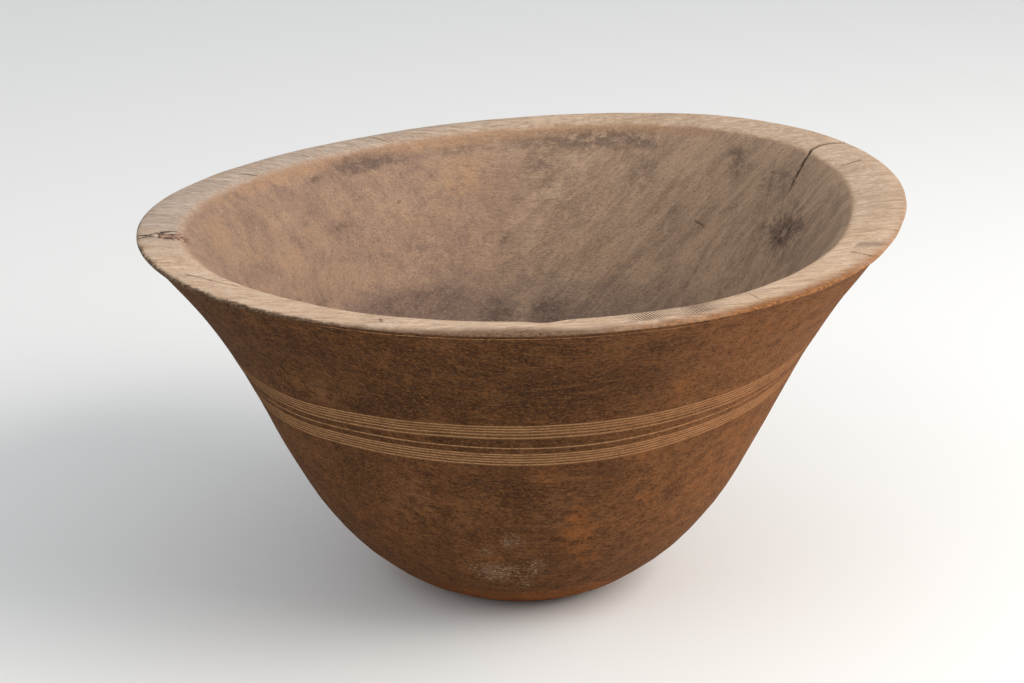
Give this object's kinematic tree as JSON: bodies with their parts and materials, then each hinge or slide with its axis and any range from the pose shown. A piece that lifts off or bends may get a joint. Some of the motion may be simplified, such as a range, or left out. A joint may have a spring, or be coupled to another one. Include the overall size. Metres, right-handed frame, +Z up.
{
  "type": "carved wooden bowl",
  "caption": "Deep hand-hewn wooden bowl with a flared wall, a broad uneven rim, scribed lines round the outside and a small flat foot.",
  "frame": {"origin": "centre of the foot, on the surface the bowl stands on", "axes": "+Z up out of the mouth, -Y the front, +X the right-hand side"},
  "size_m": [0.3922, 0.4067, 0.2113],
  "materials": {
    "bowl_body": "dry worn hardwood, dark outside, greyed and rubbed on the rim and in the hollow",
    "rim_gash_fill": "reddish splintered fibre packed in the gash",
    "wall_knot": "dark dry knot wood"
  },
  "bodies": {
    "root": {"bowl_body": "bowl_body", "rim_gash_fill": "rim_gash_fill", "wall_knot": "wall_knot"}
  },
  "joints": []
}
